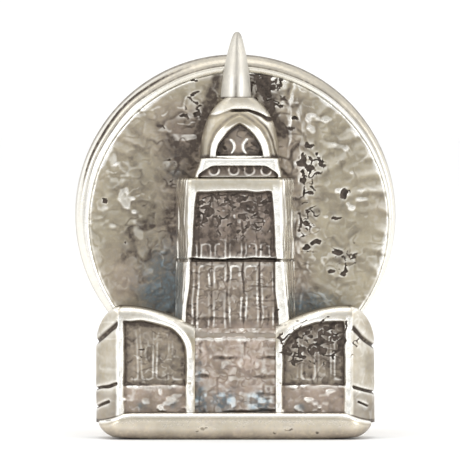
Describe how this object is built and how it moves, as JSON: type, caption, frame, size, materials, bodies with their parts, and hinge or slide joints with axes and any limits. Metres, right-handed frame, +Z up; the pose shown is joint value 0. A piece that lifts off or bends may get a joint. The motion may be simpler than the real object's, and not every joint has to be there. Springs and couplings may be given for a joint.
{
  "type": "miniature landmark tack",
  "caption": "Small worn silver tack in the shape of a stepped tower with a spire and low wings on a plinth, before a sunburst disc, held by a pin post and a sliding ball-locking clutch.",
  "frame": {"origin": "centre of the plinth's flat underside", "axes": "+Z up to the tip of the spire, the relief faces -Y, +Y out of the back along the post, +X to the right as seen from the front"},
  "size_m": [0.0126, 0.0118, 0.016],
  "materials": {
    "polished_silver": "worn polished silver, soft scratches",
    "aged_silver": "matte tarnished silver with dark pits",
    "relief_silver": "tarnished silver, polished on its edges",
    "post_steel": "drawn nickel-plated steel",
    "clutch_brass": "satin stamped brass",
    "hard_steel": "bright hardened steel"
  },
  "bodies": {
    "tack": {"backing_dish": "polished_silver", "sunburst_disc": "aged_silver", "plinth": "polished_silver", "left_wing": "relief_silver", "right_wing": "relief_silver", "entrance_block": "relief_silver", "lower_shaft": "relief_silver", "upper_shaft": "relief_silver", "shoulder_tier": "relief_silver", "dome_tier": "relief_silver", "spire": "polished_silver", "post_pad": "polished_silver", "tack_post": "post_steel"},
    "clutch": {"clutch_plate": "clutch_brass", "clutch_cup": "clutch_brass", "cone_bush": "hard_steel", "clutch_spring": "hard_steel"},
    "pull": {"ball_cage": "hard_steel", "clutch_balls": "hard_steel", "pull_cap": "clutch_brass"}
  },
  "joints": [
    {"name": "clutch_slide", "type": "slide", "parent": "tack", "child": "clutch", "axis": [0, 1, 0], "range_m": [-0.001, 0.008]},
    {"name": "pull_slide", "type": "slide", "parent": "clutch", "child": "pull", "axis": [0, 1, 0], "range_m": [0, 0.0005], "stiffness_N_per_m": 500, "springref_m": -0.0008, "deforming": ["clutch_spring"]}
  ]
}
